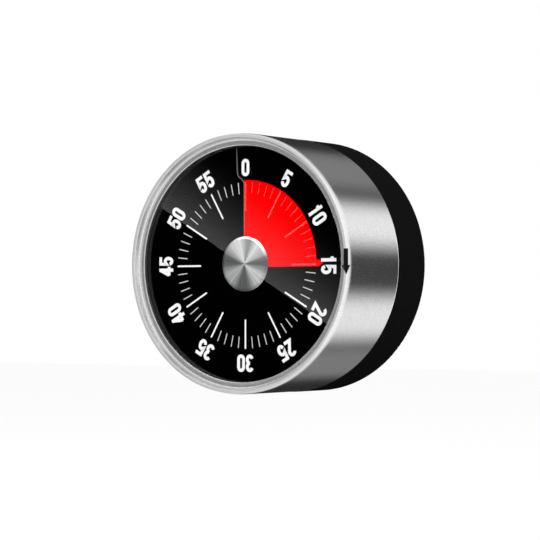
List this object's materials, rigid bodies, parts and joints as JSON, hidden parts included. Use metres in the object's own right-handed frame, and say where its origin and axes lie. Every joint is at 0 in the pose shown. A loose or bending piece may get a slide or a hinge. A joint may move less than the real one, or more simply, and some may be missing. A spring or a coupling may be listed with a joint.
{
  "type": "visual countdown timer",
  "caption": "Round wind-up visual timer: turned steel bezel ring over a black dial with a red time sector, clear lens, magnetic black back",
  "frame": {"origin": "centre of the magnet's back face, on the axis that the ring turns about", "axes": "+Y out of the magnetic back, -Y out of the dial towards the reader, +Z at 12 o'clock, +X at 3 o'clock"},
  "size_m": [0.0782, 0.0464, 0.0782],
  "materials": {
    "bezel_steel": "fine blasted, clear lacquer",
    "carrier_plastic": "moulded",
    "lens_clear": "clear acrylic",
    "hub_metal": "concentric spun",
    "dial_print": "printed black",
    "film_red": "satin film",
    "case_plastic": "moulded",
    "housing_black": "fine spark texture",
    "magnet_nickel": "nickel plated",
    "grip_rubber": "silicone",
    "glide_plastic": "acetal",
    "screw_steel": "zinc plated",
    "plate_brass": "stamped",
    "post_steel": "turned",
    "wheel_brass": "stamped",
    "arbor_steel": "turned",
    "spring_steel": "blued strip",
    "lever_steel": "stamped",
    "bell_steel": "drawn, nickel plated"
  },
  "bodies": {
    "case": {"rear_housing": "housing_black", "inner_case": "case_plastic", "dial_plate": "dial_print", "case_screws": "screw_steel", "back_magnet": "magnet_nickel", "grip_ring": "grip_rubber", "glide_ring": "glide_plastic", "front_plate": "plate_brass", "back_plate": "plate_brass", "pillars": "post_steel", "pillar_nuts": "screw_steel", "movement_screws": "screw_steel", "spring_post": "post_steel", "arbor_bush": "plate_brass", "mainspring": "spring_steel", "hammer_pin": "post_steel", "bell": "bell_steel", "bell_screw": "screw_steel"},
    "ring_assembly": {"steel_ring": "bezel_steel", "ring_carrier": "carrier_plastic", "lens": "lens_clear", "hub_cap": "hub_metal", "red_film": "film_red", "main_arbor": "arbor_steel", "great_wheel": "wheel_brass", "ratchet_wheel": "wheel_brass", "click": "arbor_steel", "release_cam": "arbor_steel"},
    "second_wheel_set": {"second_arbor": "arbor_steel", "second_wheel": "wheel_brass"},
    "third_wheel_set": {"third_arbor": "arbor_steel", "third_wheel": "wheel_brass"},
    "escape_wheel_set": {"escape_arbor": "arbor_steel", "escape_wheel": "wheel_brass"},
    "pallet_set": {"pallet_arbor": "arbor_steel", "pallet_lever": "lever_steel"},
    "hammer": {"hammer_lever": "lever_steel"}
  },
  "joints": [
    {"name": "ring_turn", "type": "hinge", "parent": "case", "child": "ring_assembly", "pos_m": [0, 0, 0], "axis": [0, 1, 0], "range_deg": [-90, 270], "deforming": ["red_film", "mainspring"]},
    {"name": "second_wheel_turn", "type": "hinge", "parent": "case", "child": "second_wheel_set", "pos_m": [0, 0, 0.017], "axis": [0, 1, 0], "range_deg": [-2025, 675]},
    {"name": "third_wheel_turn", "type": "hinge", "parent": "case", "child": "third_wheel_set", "pos_m": [0.0117, 0, 0.01233], "axis": [0, 1, 0], "range_deg": [-4050, 12150]},
    {"name": "escape_wheel_turn", "type": "hinge", "parent": "case", "child": "escape_wheel_set", "pos_m": [0.01953, 0, 0.00432], "axis": [0, 1, 0], "range_deg": [-72900, 24300]},
    {"name": "pallet_rock", "type": "hinge", "parent": "case", "child": "pallet_set", "pos_m": [0.01956, 0, -0.00418], "axis": [0, 1, 0], "range_deg": [-6, 6]},
    {"name": "hammer_swing", "type": "hinge", "parent": "case", "child": "hammer", "pos_m": [-0.01259, 0, -0.00458], "axis": [0, 1, 0], "range_deg": [0, 8]}
  ],
  "couplings": [
    {"joint": "second_wheel_turn", "follows": "ring_turn", "ratio": -7.5},
    {"joint": "third_wheel_turn", "follows": "ring_turn", "ratio": 45},
    {"joint": "escape_wheel_turn", "follows": "ring_turn", "ratio": -270}
  ]
}
